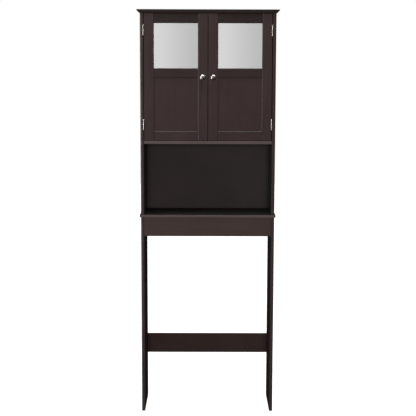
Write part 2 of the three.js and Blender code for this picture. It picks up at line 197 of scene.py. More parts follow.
def relief(tree: Tree, height: Socket, depth: float, strength: float = 1.0) -> Socket:
    """Bumps a surface by a pattern whose relief has a real depth."""
    inputs = {"Height": height, "Distance": depth, "Strength": strength}
    return add_node(tree, "ShaderNodeBump", inputs).outputs[0]


class Finish:
    """What all finishes share: one material, made when it is first asked for."""

    name: str

    def material(self) -> bpy.types.Material:
        """The finish's material, the same one each time."""
        known = bpy.data.materials.get(self.name)
        if known is not None:
            return known
        made = bpy.data.materials.new(self.name)
        made.use_nodes = True
        tree = made.node_tree
        tree.nodes.clear()
        place = add_node(tree, "ShaderNodeTexCoord").outputs["Object"]
        shader = add_node(tree, "ShaderNodeBsdfPrincipled", self.inputs(tree, place))
        add_node(tree, "ShaderNodeOutputMaterial", {"Surface": shader.outputs[0]})
        return made

    def inputs(self, tree: Tree, place: Socket) -> dict[str, object]:
        """Builds the finish's patterns.

        Args:
            tree: The material's node tree.
            place: Object coordinates, in metres.

        Returns:
            The inputs of its principled shader by name.
        """
        raise NotImplementedError


@dataclass(frozen=True)
class EspressoLacquer(Finish):
    """MDF under a printed wood-grain foil, sprayed with satin espresso lacquer.

    The eye gets a near-black brown with hardly any pattern: faint streaks 3 mm apart along the grain, a
    slow drift between warm and neutral brown, and a satin sheen that the spray's orange peel breaks up.
    """

    name: str
    grain: Grain
    dark: str
    light: str
    roughness: float = 0.44
    streak: float = 3 * MM
    streak_share: float = 0.55  # the rest of the colour's change is drift
    drift: float = 140 * MM
    peel: float = 2.4 * MM  # about 1 mm on the real board, drawn coarser so that it shows
    peel_height: float = 0.018 * MM

    def inputs(self, tree: Tree, place: Socket) -> dict[str, object]:
        """Builds the lacquer's patterns and returns the inputs of its shader."""
        drawn_out = add_node(tree, "ShaderNodeMapping", {"Vector": place, "Scale": self.grain.value})
        streaks = noise(tree, drawn_out.outputs[0], self.streak, Detail=3.0, Roughness=0.6)
        drift = noise(tree, place, self.drift, Detail=2.0)
        peel = noise(tree, place, self.peel, Detail=1.0)
        part = add_node(tree, "ShaderNodeMath", {0: streaks, 1: self.streak_share}, operation="MULTIPLY")
        both = add_node(
            tree,
            "ShaderNodeMath",
            {0: drift, 1: 1 - self.streak_share, 2: part.outputs[0]},
            operation="MULTIPLY_ADD",
        )
        span = {"Value": both.outputs[0], "From Min": 0.36, "From Max": 0.64}
        ramp = add_node(tree, "ShaderNodeMapRange", span)
        return {
            "Base Color": blend(tree, ramp.outputs[0], self.dark, self.light),
            "Roughness": uneven(tree, streaks, self.roughness, 0.05, 0.05),
            "Normal": relief(tree, peel, self.peel_height),
            "IOR": 1.48,
        }


@dataclass(frozen=True)
class RawHardboard(Finish):
    """Bare rear face of the 3 mm hardboard: pressed brown fibre with the print of the press screen.

    The eye gets a dull, warm mid brown flecked with lighter fibres 4 mm long, with no shine.
    """

    name: str = "raw_pressed_hardboard"
    dark: str = "#4a3526"
    light: str = "#6d5340"
    fleck: float = 4 * MM
    screen: float = 2.5 * MM  # the press screen is about 1 mm, drawn coarser so that it shows
    screen_depth: float = 0.12 * MM

    def inputs(self, tree: Tree, place: Socket) -> dict[str, object]:
        """Builds the hardboard's patterns and returns the inputs of its shader."""
        flecks = noise(tree, place, self.fleck, Detail=6.0, Roughness=0.7, Distortion=1.2)
        cells = {"Vector": place, "Scale": 1 / self.screen, "Randomness": 0.35}
        screen = add_node(tree, "ShaderNodeTexVoronoi", cells)
        return {
            "Base Color": blend(tree, flecks, self.dark, self.light),
            "Roughness": 0.82,
            "Normal": relief(tree, screen.outputs["Distance"], self.screen_depth, 0.8),
            "IOR": 1.45,
        }


@dataclass(frozen=True)
class AcidEtchedGlass(Finish):
    """Float glass etched with acid on one face.

    The eye gets a pale, even, silky grey with no view through it, and a soft sheen from pits far too fine to
    see. Its colour is painted light: lighter towards the pane's left edge and darker to its right.
    """

    name: str
    left: float
    right: float
    # Painted light: the colour runs from the lit tint at the pane's left edge to the shaded tint at its
    # right.
    lit_tint: str = "#c5c4c4"
    shaded_tint: str = "#abaaaa"
    pit: float = 1.6 * MM  # the pits are hundredths of a millimetre, drawn coarse enough to show
    pit_depth: float = 0.015 * MM

    def inputs(self, tree: Tree, place: Socket) -> dict[str, object]:
        """Builds the glass's patterns and returns the inputs of its shader."""
        across = add_node(tree, "ShaderNodeSeparateXYZ", {0: place})
        span = {"Value": across.outputs[0], "From Min": self.left, "From Max": self.right}
        share = add_node(tree, "ShaderNodeMapRange", span, interpolation_type="SMOOTHSTEP")
        return {
            "Base Color": blend(tree, share.outputs[0], self.lit_tint, self.shaded_tint),
            "Roughness": 0.46,
            "IOR": 1.52,
            "Transmission Weight": 0.12,
            "Normal": relief(tree, noise(tree, place, self.pit, Detail=3.0), self.pit_depth, 0.7),
        }


@dataclass(frozen=True)
class TurnedNickel(Finish):
    """Brass turned on a lathe and plated with satin nickel.

    The eye gets a warm silver whose highlights run round the knob, drawn out by turning marks.
    """

    name: str
    centre: tuple[float, float, float]
    colour: str = "#cfcac2"
    roughness: float = 0.42
    haze: float = 6 * MM
    mark: float = 0.55 * MM  # turning marks are about 0.1 mm apart, drawn coarser so that they show
    mark_depth: float = 0.004 * MM

    def inputs(self, tree: Tree, place: Socket) -> dict[str, object]:
        """Builds the knob's patterns and returns the inputs of its shader."""
        centred = add_node(
            tree, "ShaderNodeMapping", {"Vector": place, "Location": self.centre}, vector_type="TEXTURE"
        )
        rings = add_node(
            tree,
            "ShaderNodeTexWave",
            {"Vector": centred.outputs[0], "Scale": 1 / (20 * self.mark), "Distortion": 0.4},
            wave_type="RINGS",
            rings_direction="Y",
        )
        haze = noise(tree, place, self.haze, Detail=3.0)
        return {
            "Base Color": linear(self.colour),
            "Metallic": 1.0,
            "Roughness": uneven(tree, haze, self.roughness, 0.05, 0.07),
            "Normal": relief(tree, rings.outputs["Fac"], self.mark_depth, 0.6),
        }


@dataclass(frozen=True)
class PlatedSteel(Finish):
    """Pressed or headed steel with a plated coat of little thickness.

    The eye gets a cool or warm grey metal, clouded in patches 5 mm across where the plating is thicker,
    with fine die marks that blur its highlights.
    """

    name: str
    colour: str
    roughness: float
    cloud: float = 5 * MM
    die_mark: float = 0.8 * MM
    die_depth: float = 0.01 * MM
    draw: tuple[float, float, float] = (1.0, 1.0, 0.05)

    def inputs(self, tree: Tree, place: Socket) -> dict[str, object]:
        """Builds the plated steel's patterns and returns the inputs of its shader."""
        drawn_out = add_node(tree, "ShaderNodeMapping", {"Vector": place, "Scale": self.draw})
        marks = noise(tree, drawn_out.outputs[0], self.die_mark, Detail=2.0)
        clouds = noise(tree, place, self.cloud, Detail=4.0)
        return {
            "Base Color": linear(self.colour),
            "Metallic": 1.0,
            "Roughness": uneven(tree, clouds, self.roughness, 0.06, 0.08),
            "Normal": relief(tree, marks, self.die_depth, 0.5),
        }


@dataclass(frozen=True)
class MouldedPlastic(Finish):
    """Injection-moulded plastic from a spark-eroded mould.

    The eye gets one dark body colour, dulled by a fine even grain.
    """

    name: str
    colour: str
    roughness: float
    grain: float = 0.9 * MM  # spark grain is a tenth of this, drawn coarser so that it shows
    grain_depth: float = 0.02 * MM

    def inputs(self, tree: Tree, place: Socket) -> dict[str, object]:
        """Builds the plastic's grain and returns the inputs of its shader."""
        return {
            "Base Color": linear(self.colour),
            "Roughness": self.roughness,
            "IOR": 1.49,
            "Normal": relief(tree, noise(tree, place, self.grain, Detail=2.0), self.grain_depth, 0.6),
        }


@dataclass(frozen=True)
class StudioPaper(Finish):
    """A roll of white background paper, lit until it is nearly white, so that shadows on it stay faint."""

    name: str = "studio_paper"
    colour: str = "#f4f4f3"
    glow: float = 0.88
    fibre: float = 3 * MM
    fibre_depth: float = 0.02 * MM

    def inputs(self, tree: Tree, place: Socket) -> dict[str, object]:
        """Builds the paper's fibre and returns the inputs of its shader."""
        return {
            "Base Color": linear(self.colour),
            "Roughness": 0.9,
            "Emission Color": (1.0, 1.0, 1.0, 1.0),
            "Emission Strength": self.glow,
            "Normal": relief(tree, noise(tree, place, self.fibre), self.fibre_depth),
        }


def lacquer(name: str, grain: Grain, dark: str, light: str, roughness: float = 0.44) -> EspressoLacquer:
    """The espresso lacquer of one kind of board or edge."""
    return EspressoLacquer(f"espresso_lacquer_{name}", grain, dark, light, roughness)


UPRIGHT_BOARD = lacquer("upright", Grain.UPRIGHT, "#2d2221", "#332726")
ACROSS_BOARD = lacquer("across", Grain.ACROSS, "#2d2221", "#332726")
# Darker copies of the lacquer for the middle and top door rails: painted shade, deeper on the top rail.
MIDDLE_RAIL_PAINTED_SHADE = lacquer("middle_rail", Grain.ACROSS, "#261c1a", "#2b201f", 0.5)
TOP_RAIL_PAINTED_SHADE = lacquer("top_rail", Grain.ACROSS, "#1e1513", "#231918", 0.52)
# A darker copy of the lacquer for the crown: painted shade.
CROWN_PAINTED_SHADE = lacquer("crown", Grain.ACROSS, "#261e1c", "#2b2321", 0.5)
# A darker, rougher copy of the lacquer for the rear stretcher: painted shade.
STRETCHER_PAINTED_SHADE = lacquer("painted_stretcher_shade", Grain.ACROSS, "#261c1a", "#2b201e", 0.55)
# A lighter copy of the lacquer for the cabinet floor: painted light.
FLOOR_PAINTED_LIGHT = lacquer("painted_floor_light", Grain.ACROSS, "#463c3a", "#4d4240", 0.4)
# A lighter copy of the lacquer for the ledge's front: painted light.
LEDGE_PAINTED_LIGHT = lacquer("ledge", Grain.ACROSS, "#423836", "#483e3b")
# A lighter copy of the lacquer for the front apron: painted light.
APRON_PAINTED_LIGHT = lacquer("apron", Grain.ACROSS, "#322624", "#382c2a")
# Darker, rougher lacquer for the hardboard's front: partly the board's own duller paint, partly painted shade
# in the niche.
BACK_TONE_AND_PAINTED_SHADE = lacquer("hardboard", Grain.UPRIGHT, "#211d1b", "#262120", 0.6)
# Lighter lacquer on eased arrises: a painted highlight where the edges catch the light.
ARRIS_PAINTED_HIGHLIGHT = lacquer("painted_arris_highlight", Grain.UPRIGHT, "#483b39", "#50423f", 0.36)
# Brighter lacquer on the side panels' arrises and on the door frames' front arrises that don't face right: a
# painted highlight of light from the left.
RIM_PAINTED_HIGHLIGHT = lacquer("painted_rim_highlight", Grain.UPRIGHT, "#6a5c59", "#73645f", 0.36)
# Darker lacquer on the outer front roundings and on door stickings that face right or down: painted shade.
EDGE_PAINTED_SHADE = lacquer("painted_edge_shade", Grain.UPRIGHT, "#191211", "#1e1614", 0.55)
# Near-black lacquer on the ledge's upward faces: painted shade under the cabinet.
LEDGE_TOP_PAINTED_SHADE = lacquer("painted_ledge_top_shade", Grain.ACROSS, "#0e0a09", "#130e0c", 0.6)
RAW_BACK = RawHardboard()
HINGE_NICKEL = PlatedSteel("pressed_steel_satin_nickel", "#c4c0b9", 0.33)
ZINC = PlatedSteel("headed_steel_bright_zinc", "#b4b6b8", 0.3)
BROWN_PLASTIC = MouldedPlastic("moulded_brown_styrene", "#2a2320", 0.5)
BLACK_POLYTHENE = MouldedPlastic("moulded_black_polythene", "#1d1a19", 0.55)
FERRITE = MouldedPlastic("pressed_ferrite", "#2f2f31", 0.7)


# ---------------------------------------------------------------- the bench


def deselect_all() -> None:
    """Leaves edit mode and selects nothing."""
    if bpy.context.mode != "OBJECT":
        bpy.ops.object.mode_set(mode="OBJECT")
    bpy.ops.object.select_all(action="DESELECT")


def take(piece: Piece) -> None:
    """Makes a piece the only selected object and the active one."""
    deselect_all()
    piece.select_set(True)
    bpy.context.view_layer.objects.active = piece


@contextmanager
def editing(piece: Piece, pick: Pick) -> Iterator[None]:
    """Holds a piece in edit mode.

    Args:
        piece: The piece that is edited.
        pick: What the selection is made of.
    """
    take(piece)
    bpy.context.tool_settings.mesh_select_mode = pick.value
    bpy.ops.object.mode_set(mode="EDIT")
    yield
    bpy.ops.object.mode_set(mode="OBJECT")


def new_piece(name: str) -> Piece:
    """Names the primitive just added and settles its place into its mesh.

    Args:
        name: The piece's name.

    Returns:
        The piece, at the origin, unturned and unscaled.
    """
    piece = bpy.context.active_object
    piece.name = name
    piece.data.name = name
    bpy.ops.object.transform_apply(location=True, rotation=True, scale=True)
    return piece


def add_block(name: str, low: Vector, high: Vector) -> Piece:
    """Adds a block.

    Args:
        name: The block's name.
        low: Its lowest corner.
        high: Its highest corner.

    Returns:
        The block.
    """
    deselect_all()
    bpy.ops.mesh.primitive_cube_add(size=1, location=(low + high) / 2, scale=high - low)
    return new_piece(name)


def add_bar(name: str, radius: float, ends: tuple[Vector, Vector], steps: int) -> Piece:
    """Adds a round bar.

    Args:
        name: The bar's name.
        radius: Its radius.
        ends: The middles of its two ends.
        steps: How many sides it has.

    Returns:
        The bar.
    """
    start, end = ends
    turn = (end - start).to_track_quat("Z", "Y").to_euler()
    deselect_all()
    bpy.ops.mesh.primitive_cylinder_add(
        vertices=steps, radius=radius, depth=(end - start).length, location=(start + end) / 2, rotation=turn
    )
    return new_piece(name)


def add_turned(
    name: str, profile: Sequence[tuple[float, float]], origin: Vector, axis: Vector, steps: int = 48
) -> Piece:
    """Turns a profile into a closed solid: a point is drawn out along it, and the line is spun.

    Args:
        name: The piece's name.
        profile: Radius and height of each point, first and last on the axis.
        origin: Where the height is zero on the axis.
        axis: The way the height grows.
        steps: How many steps the spin has.

    Returns:
        The piece.
    """
    out = axis.orthogonal().normalized()
    points = [origin + out * radius + axis * height for radius, height in profile]
    deselect_all()
    bpy.ops.mesh.primitive_plane_add(size=MM)
    piece = new_piece(name)
    with editing(piece, Pick.VERTEX):
        bpy.ops.mesh.select_all(action="SELECT")
        bpy.ops.mesh.merge(type="CENTER")
        bpy.ops.transform.translate(value=points[0])
        for before, after in zip(points, points[1:]):
            bpy.ops.mesh.extrude_vertices_move(TRANSFORM_OT_translate={"value": after - before})
        bpy.ops.mesh.select_all(action="SELECT")
        bpy.ops.mesh.spin(steps=steps, angle=2 * math.pi, center=origin, axis=axis)
        bpy.ops.mesh.select_all(action="SELECT")
        bpy.ops.mesh.remove_doubles(threshold=0.002 * MM)
        bpy.ops.mesh.normals_make_consistent(inside=False)
    return piece


def arc(
    centre: tuple[float, float], radii: tuple[float, float], turn: tuple[float, float], steps: int
) -> list[tuple[float, float]]:
    """Points of a profile on an arc.

    Args:
        centre: Radius and height of the arc's centre.
        radii: How far it reaches from the centre across and along the axis.
        turn: First and last angle in degrees, from straight outwards.
        steps: How many steps it has.

    Returns:
        The points, both ends included.
    """
    angles = [math.radians(turn[0] + (turn[1] - turn[0]) * i / steps) for i in range(steps + 1)]
    return [(centre[0] + radii[0] * math.cos(a), centre[1] + radii[1] * math.sin(a)) for a in angles]


def combine(piece: Piece, other: Piece, operation: Boolean) -> None:
    """Joins another solid to a piece or cuts it away, and uses the other up.

    Args:
        piece: The piece that stays.
        other: The solid that is joined or cut away.
        operation: Which of the two is done.
    """
    modifier = piece.modifiers.new("combine", "BOOLEAN")
    modifier.operation = operation.value
    modifier.solver = "EXACT"
    modifier.object = other
    take(piece)
    bpy.ops.object.modifier_apply(modifier=modifier.name)
    bpy.data.objects.remove(other)


def copy_node(node: str, name: str) -> Piece:
    """Copies a node of the frame as a new piece with its triangles merged into whole faces.

    Args:
        node: The node's name.
        name: The new piece's name.

    Returns:
        The piece.
    """
    mesh = bpy.data.objects[node].data.copy()
    mesh.name = name
    mesh.materials.clear()
    piece = bpy.data.objects.new(name, mesh)
    bpy.context.scene.collection.objects.link(piece)
    take(piece)
    if mesh.has_custom_normals:
        bpy.ops.mesh.customdata_custom_splitnormals_clear()
    with editing(piece, Pick.VERTEX):
        bpy.ops.mesh.select_all(action="SELECT")
        bpy.ops.mesh.remove_doubles(threshold=0.002 * MM)
        bpy.ops.mesh.dissolve_limited(angle_limit=math.radians(1))
    return piece


def ease(
    piece: Piece,
    width: float,
    wanted: Test,
    segments: int = 2,
    material: int = -1,
) -> None:
    """Rounds the sharp edges of a piece that are wanted.

    Args:
        piece: The piece.
        width: How far the rounding reaches from the edge.
        wanted: Says of an edge's two ends whether it is rounded.
        segments: How many steps the rounding has.
        material: Number of the material that the new faces get, or -1 to keep their neighbours'.
    """
    mesh = piece.data
    normals: dict[tuple[int, int], list[Vector]] = {}
    for polygon in mesh.polygons:
        for key in polygon.edge_keys:
            normals.setdefault(key, []).append(polygon.normal)
    for group in (mesh.vertices, mesh.edges, mesh.polygons):
        group.foreach_set("select", [False] * len(group))
    found = 0
    for edge in mesh.edges:
        sides = normals.get(edge.key, [])
        sharp = len(sides) == 2 and sides[0].angle(sides[1], 0) > math.radians(25)
        ends = [mesh.vertices[i].co for i in edge.vertices]
        edge.select = sharp and wanted(*ends)
        found += edge.select
    if not found:
        LOG.warning("%s has no edge to ease", piece.name)
        return
    with editing(piece, Pick.EDGE):
        bpy.ops.mesh.bevel(offset=width, segments=segments, affect="EDGES", material=material)


def every_edge(_start: Vector, _end: Vector) -> bool:
    """Wants every sharp edge."""
    return True


def on_box(low: Vector, high: Vector) -> Test:
    """Makes a test that wants the twelve edges of a box.

    Args:
        low: The box's lowest corner.
        high: Its highest corner.

    Returns:
        The test, for ease.
    """

    def wanted(start: Vector, end: Vector) -> bool:
        """Wants an edge that lies in two of the box's faces."""
        faces = 0
        for axis in range(3):
            for level in (low[axis], high[axis]):
                faces += abs(start[axis] - level) < SAME_PLACE and abs(end[axis] - level) < SAME_PLACE
        return faces >= 2

    return wanted


def at_level(axis: int, level: float) -> Test:
    """Makes a test that wants the edges that lie in one plane across an axis.

    Args:
        axis: Number of the axis.
        level: Where the plane crosses it.

    Returns:
        The test, for ease.
    """

    def wanted(start: Vector, end: Vector) -> bool:
        """Wants an edge with both ends at the level."""
        return abs(start[axis] - level) < SAME_PLACE and abs(end[axis] - level) < SAME_PLACE

    return wanted


def smooth(piece: Piece, angle: float = 40) -> None:
    """Shades a piece smooth, with flat faces kept flat by weighted normals.

    Args:
        piece: The piece.
        angle: Edges sharper than this many degrees stay sharp.
    """
    take(piece)
    bpy.ops.object.shade_smooth_by_angle(angle=math.radians(angle))
    modifier = piece.modifiers.new("weights", "WEIGHTED_NORMAL")
    modifier.keep_sharp = True
    bpy.ops.object.modifier_apply(modifier=modifier.name)


def work_copy(node: str, kind: str, eases: Sequence[tuple], angle: float = 40) -> Piece:
    """Copies a node, eases its edges and smooths it.

    Args:
        node: The node's name.
        kind: What the piece is called after the node.
        eases: The width, the test and any further values of each call of ease, in order.
        angle: Edges sharper than this many degrees stay sharp.

    Returns:
        The piece.
    """
    piece = copy_node(node, f"{node}_{kind}")
    for values in eases:
        ease(piece, *values)
    smooth(piece, angle)
    return piece


def middle(node: str) -> Vector:
    """The middle of a node's box."""
    low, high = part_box(node)
    return (low + high) / 2


def reach(node: str, sign: int) -> float:
    """How far along X a node reaches to the left, for -1, or to the right, for 1."""
    low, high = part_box(node)
    return high.x if sign > 0 else low.x


def paint(piece: Piece, number: int, wanted: Callable[[Vector], bool]) -> None:
    """Gives one of a piece's materials to some of its faces.

    Args:
        piece: The piece.
        number: The material's number.
        wanted: Says of a face's normal whether it gets that material.
    """
    for polygon in piece.data.polygons:
        if wanted(polygon.normal):
            polygon.material_index = number


def dress(
    piece: Piece, body: str, slot: Slot, finishes: Sequence[Finish], nodes: Sequence[str] = ()
) -> None:
    """Gives a finished piece its materials and its body, and hides the nodes that it stands for.

    Args:
        piece: The piece, in place.
        body: The body that it rides on.
        slot: The record's material slot, not used.
        finishes: Its finishes in the order of its material numbers.
        nodes: The nodes that it stands for.
    """
    for number, finish in enumerate(finishes):
        if number < len(piece.data.materials):
            piece.data.materials[number] = finish.material()
        else:
            piece.data.materials.append(finish.material())
    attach(piece, body)
    if nodes:
        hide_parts(*nodes)
    LOG.info("%s on %s, %d faces", piece.name, body, len(piece.data.polygons))


def copy_piece(master: Piece, name: str, place: Matrix) -> Piece:
    """Copies a piece with its own mesh to another place.

    Args:
        master: The piece made at the origin.
        name: The copy's name.
        place: Where the copy goes.

    Returns:
        The copy.
    """
    mesh = master.data.copy()
    mesh.name = name
    mesh.transform(place)
    copy = bpy.data.objects.new(name, mesh)
    bpy.context.scene.collection.objects.link(copy)
    return copy


def facing(position: Vector, direction: Vector) -> Matrix:
    """The place of something modelled along +Z that faces another way at a position."""
    return Matrix.Translation(position) @ direction.to_track_quat("Z", "Y").to_matrix().to_4x4()


# ---------------------------------------------------------------- fasteners


# Head radius and height, shank radius and length, reach and width of the cross recess.
HINGE_SCREW = (2.6 * MM, 0.12 * MM, 1.2 * MM, 4 * MM, 1.4 * MM, 0.5 * MM)
PAN_SCREW = (2.8 * MM, 1.4 * MM, 1.2 * MM, 3 * MM, 1.5 * MM, 0.6 * MM)
CAM_FACE = (7.5 * MM, 0.5 * MM, 6 * MM, 9 * MM, 3.6 * MM, 1.1 * MM)


class Head(Enum):
    """Kinds of fastener head."""

    PAN = "pan"
    COUNTERSUNK = "countersunk"
    CAM = "cam"


@dataclass
class Fastener:
    """A cross-head fastener, modelled once with its seat at the origin and its head towards +Z."""

    head: Head
    radius: float
    height: float
    shank_radius: float
    shank_length: float
    recess: float
    recess_width: float
    finish: Finish
    slot: Slot
    master: Piece | None = None

    def profile(self) -> list[tuple[float, float]]:
        """The outline of the head and shank from the shank's tip to the crown of the head."""
        shank = [
            (0.0, -self.shank_length),
            (self.shank_radius * 0.4, -self.shank_length),
            (self.shank_radius, -self.shank_length * 0.85),
        ]
        if self.head is Head.COUNTERSUNK:
            return [
                *shank,
                (self.shank_radius, self.height - self.radius),
                (self.radius, self.height * 0.4),
                *arc((0, self.height * 0.4), (self.radius, self.height * 0.6), (20, 90), 4)[:-1],
                (0.0, self.height),
            ]
        edge = min(0.3 * MM, self.height / 2) if self.head is Head.CAM else self.height * 0.7
        return [
            *shank,
            (self.shank_radius, 0.0),
            (self.radius, 0.0),
            (self.radius, self.height - edge),
            *arc((self.radius - edge, self.height - edge), (edge, edge), (15, 90), 5),
            (0.0, self.height),
        ]

    def make(self) -> Piece:
        """Models the fastener, with its cross recess, and hides it away as the master for copies."""
        master = add_turned(
            f"{self.head.value}_master_{len(bpy.data.objects)}",
            self.profile(),
            Vector(),
            Vector((0, 0, 1)),
            32,
        )
        half = self.recess_width / 2
        for x, y in ((self.recess, half), (half, self.recess)):
            low, high = Vector((-x, -y, self.height * 0.35)), Vector((x, y, self.height * 2))
            combine(master, add_block("recess", low, high), Boolean.CUT)
        smooth(master, 35)
        return master

    def put(
        self, name: str, body: str, position: Vector, direction: Vector, nodes: Sequence[str] = ()
    ) -> None:
        """Puts one copy in place.

        Args:
            name: The copy's name.
            body: The body that it rides on.
            position: Where its head seats.
            direction: The way its head faces.
            nodes: The nodes that it stands for.
        """
        if self.master is None:
            self.master = self.make()
        copy = copy_piece(self.master, name, facing(position, direction))
        dress(copy, body, self.slot, [self.finish], nodes)

    def put_away(self) -> None:
        """Removes the master."""
        if self.master is not None:
            bpy.data.objects.remove(self.master)
            self.master = None


@dataclass
class FastenerBox:
    """The kinds of fastener that hold the rack together."""

    hinge: Fastener = field(
        default_factory=lambda: Fastener(Head.COUNTERSUNK, *HINGE_SCREW, HINGE_NICKEL, Slot.NICKEL)
    )
    pan: Fastener = field(default_factory=lambda: Fastener(Head.PAN, *PAN_SCREW, ZINC, Slot.ZINC))
    cam: Fastener = field(default_factory=lambda: Fastener(Head.CAM, *CAM_FACE, ZINC, Slot.ZINC))

    def put_away(self) -> None:
        """Removes every master."""
        for kind in (self.hinge, self.pan, self.cam):
            kind.put_away()


# ---------------------------------------------------------------- boards


@dataclass
class Board:
    """One board of the rack, worked from its node: edges eased, then lacquered, with a painted highlight on
    its arrises and, on a side board, painted shade on its outer front rounding.
    """

    node: str
    finish: EspressoLacquer
    arris: float = 0.8 * MM
    # The lighter lacquer of its arrises, a painted highlight.
    highlight_finish: EspressoLacquer = ARRIS_PAINTED_HIGHLIGHT

    def build(self, outer: int = 0, front_round: float = 0.0) -> None:
        """Makes the board.

        Args:
            outer: The side whose front edge is rounded first, -1 for left, 1 for right or 0 for none.
            front_round: How wide that rounding is.
        """
        low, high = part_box(self.node)
        arris = (self.arris, on_box(low, high), 2, LIT_ARRIS)
        eases = [arris]
        if outer:
            tests = (at_level(0, reach(self.node, outer)), at_level(1, low.y))
            # The outer front rounding takes the darker lacquer: painted shade.
            eases.insert(0, (front_round, lambda a, b: all(test(a, b) for test in tests), 6, SHADED_EDGE))
        piece = work_copy(self.node, "board", eases)
        dress(piece, "carcass", Slot.BOARD, [self.finish, self.highlight_finish, EDGE_PAINTED_SHADE], [self.node])


@dataclass
class Carcass:
    """The cabinet and the niche: crown, sides, floor, back, inner shelf and its pins."""

    fasteners: FastenerBox
    front_round: float = 7 * MM
    panel_arris: float = 1.4 * MM
    floor_arris: float = 1.5 * MM
    back_arris: float = 0.3 * MM
    crown_round: float = 1.2 * MM
    pin_nose: float = 0.6 * MM
    cam_inset: float = 34 * MM
    cam_from_front: float = 45 * MM
    cam_from_back: float = 55 * MM

    def build(self) -> None:
        """Makes every piece of the cabinet."""
        self.make_crown()
        for side, sign in SIDES.items():
            # The side panels' arrises take the brighter lacquer, a painted highlight.
            panel = Board(f"{side}_side_panel", UPRIGHT_BOARD, self.panel_arris, RIM_PAINTED_HIGHLIGHT)
            panel.build(sign, self.front_round)
        Board("cabinet_floor", FLOOR_PAINTED_LIGHT, self.floor_arris).build()
        Board("inner_shelf", ACROSS_BOARD).build()
        self.make_back()
        self.make_pins()
        self.place_cams()

    def make_crown(self) -> None:
        """The crown board in a darker lacquer, painted shade, with every edge above its underside softened
        and given a lighter lacquer, a painted highlight.
        """
        node = "crown_top"
        under = at_level(2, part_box(node)[0].z)
        piece = work_copy(node, "board", [(self.crown_round, lambda a, b: not under(a, b), 3, LIT_ARRIS)], 30)
        dress(piece, "carcass", Slot.BOARD, [CROWN_PAINTED_SHADE, ARRIS_PAINTED_HIGHLIGHT], [node])

    def make_back(self) -> None:
        """The hardboard back, lacquered on its front and bare behind."""
        node = "back_panel"
        piece = work_copy(node, "board", [(self.back_arris, every_edge, 1)])
        paint(piece, 1, lambda normal: normal.y > -0.5)
        dress(piece, "carcass", Slot.BACK, [BACK_TONE_AND_PAINTED_SHADE, RAW_BACK], [node])

    def make_pins(self) -> None:
        """The four steel shelf pins, turned with rounded ends."""
        nose = self.pin_nose
        for side, sign in SIDES.items():
            for end in ("front", "back"):
                node = f"{side}_{end}_shelf_pin"
                low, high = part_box(node)
                radius, length = (high.z - low.z) / 2, high.x - low.x
                profile = [
                    (0.0, 0.0),
                    *arc((radius - nose, nose), (nose, nose), (-90, 0), 4),
                    *arc((radius - nose, length - nose), (nose, nose), (0, 90), 4),
                    (0.0, length),
                ]
                inner = middle(node)
                inner.x = reach(node, -sign)
                piece = add_turned(f"{node}_turned", profile, inner, Vector((sign, 0, 0)), 32)
                smooth(piece)
                dress(piece, "carcass", Slot.ZINC, [ZINC], [node])

    def place_cams(self) -> None:
        """Cam fittings: at the tops of the sides, and at the ends of the floor, on its underside."""
        floor_low, floor_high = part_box("cabinet_floor")
        cam = self.fasteners.cam
        for side, sign in SIDES.items():
            node = f"{side}_side_panel"
            low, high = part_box(node)
            for end, y in (("front", low.y + self.cam_from_front), ("back", high.y - self.cam_from_back)):
                top = Vector((reach(node, -sign), y, high.z - self.cam_inset))
                cam.put(f"{side}_{end}_crown_cam", "carcass", top, Vector((-sign, 0, 0)))
                under = Vector((sign * (floor_high.x - self.cam_inset), y, floor_low.z))
                cam.put(f"{side}_{end}_floor_cam", "carcass", under, Vector((0, 0, -1)))


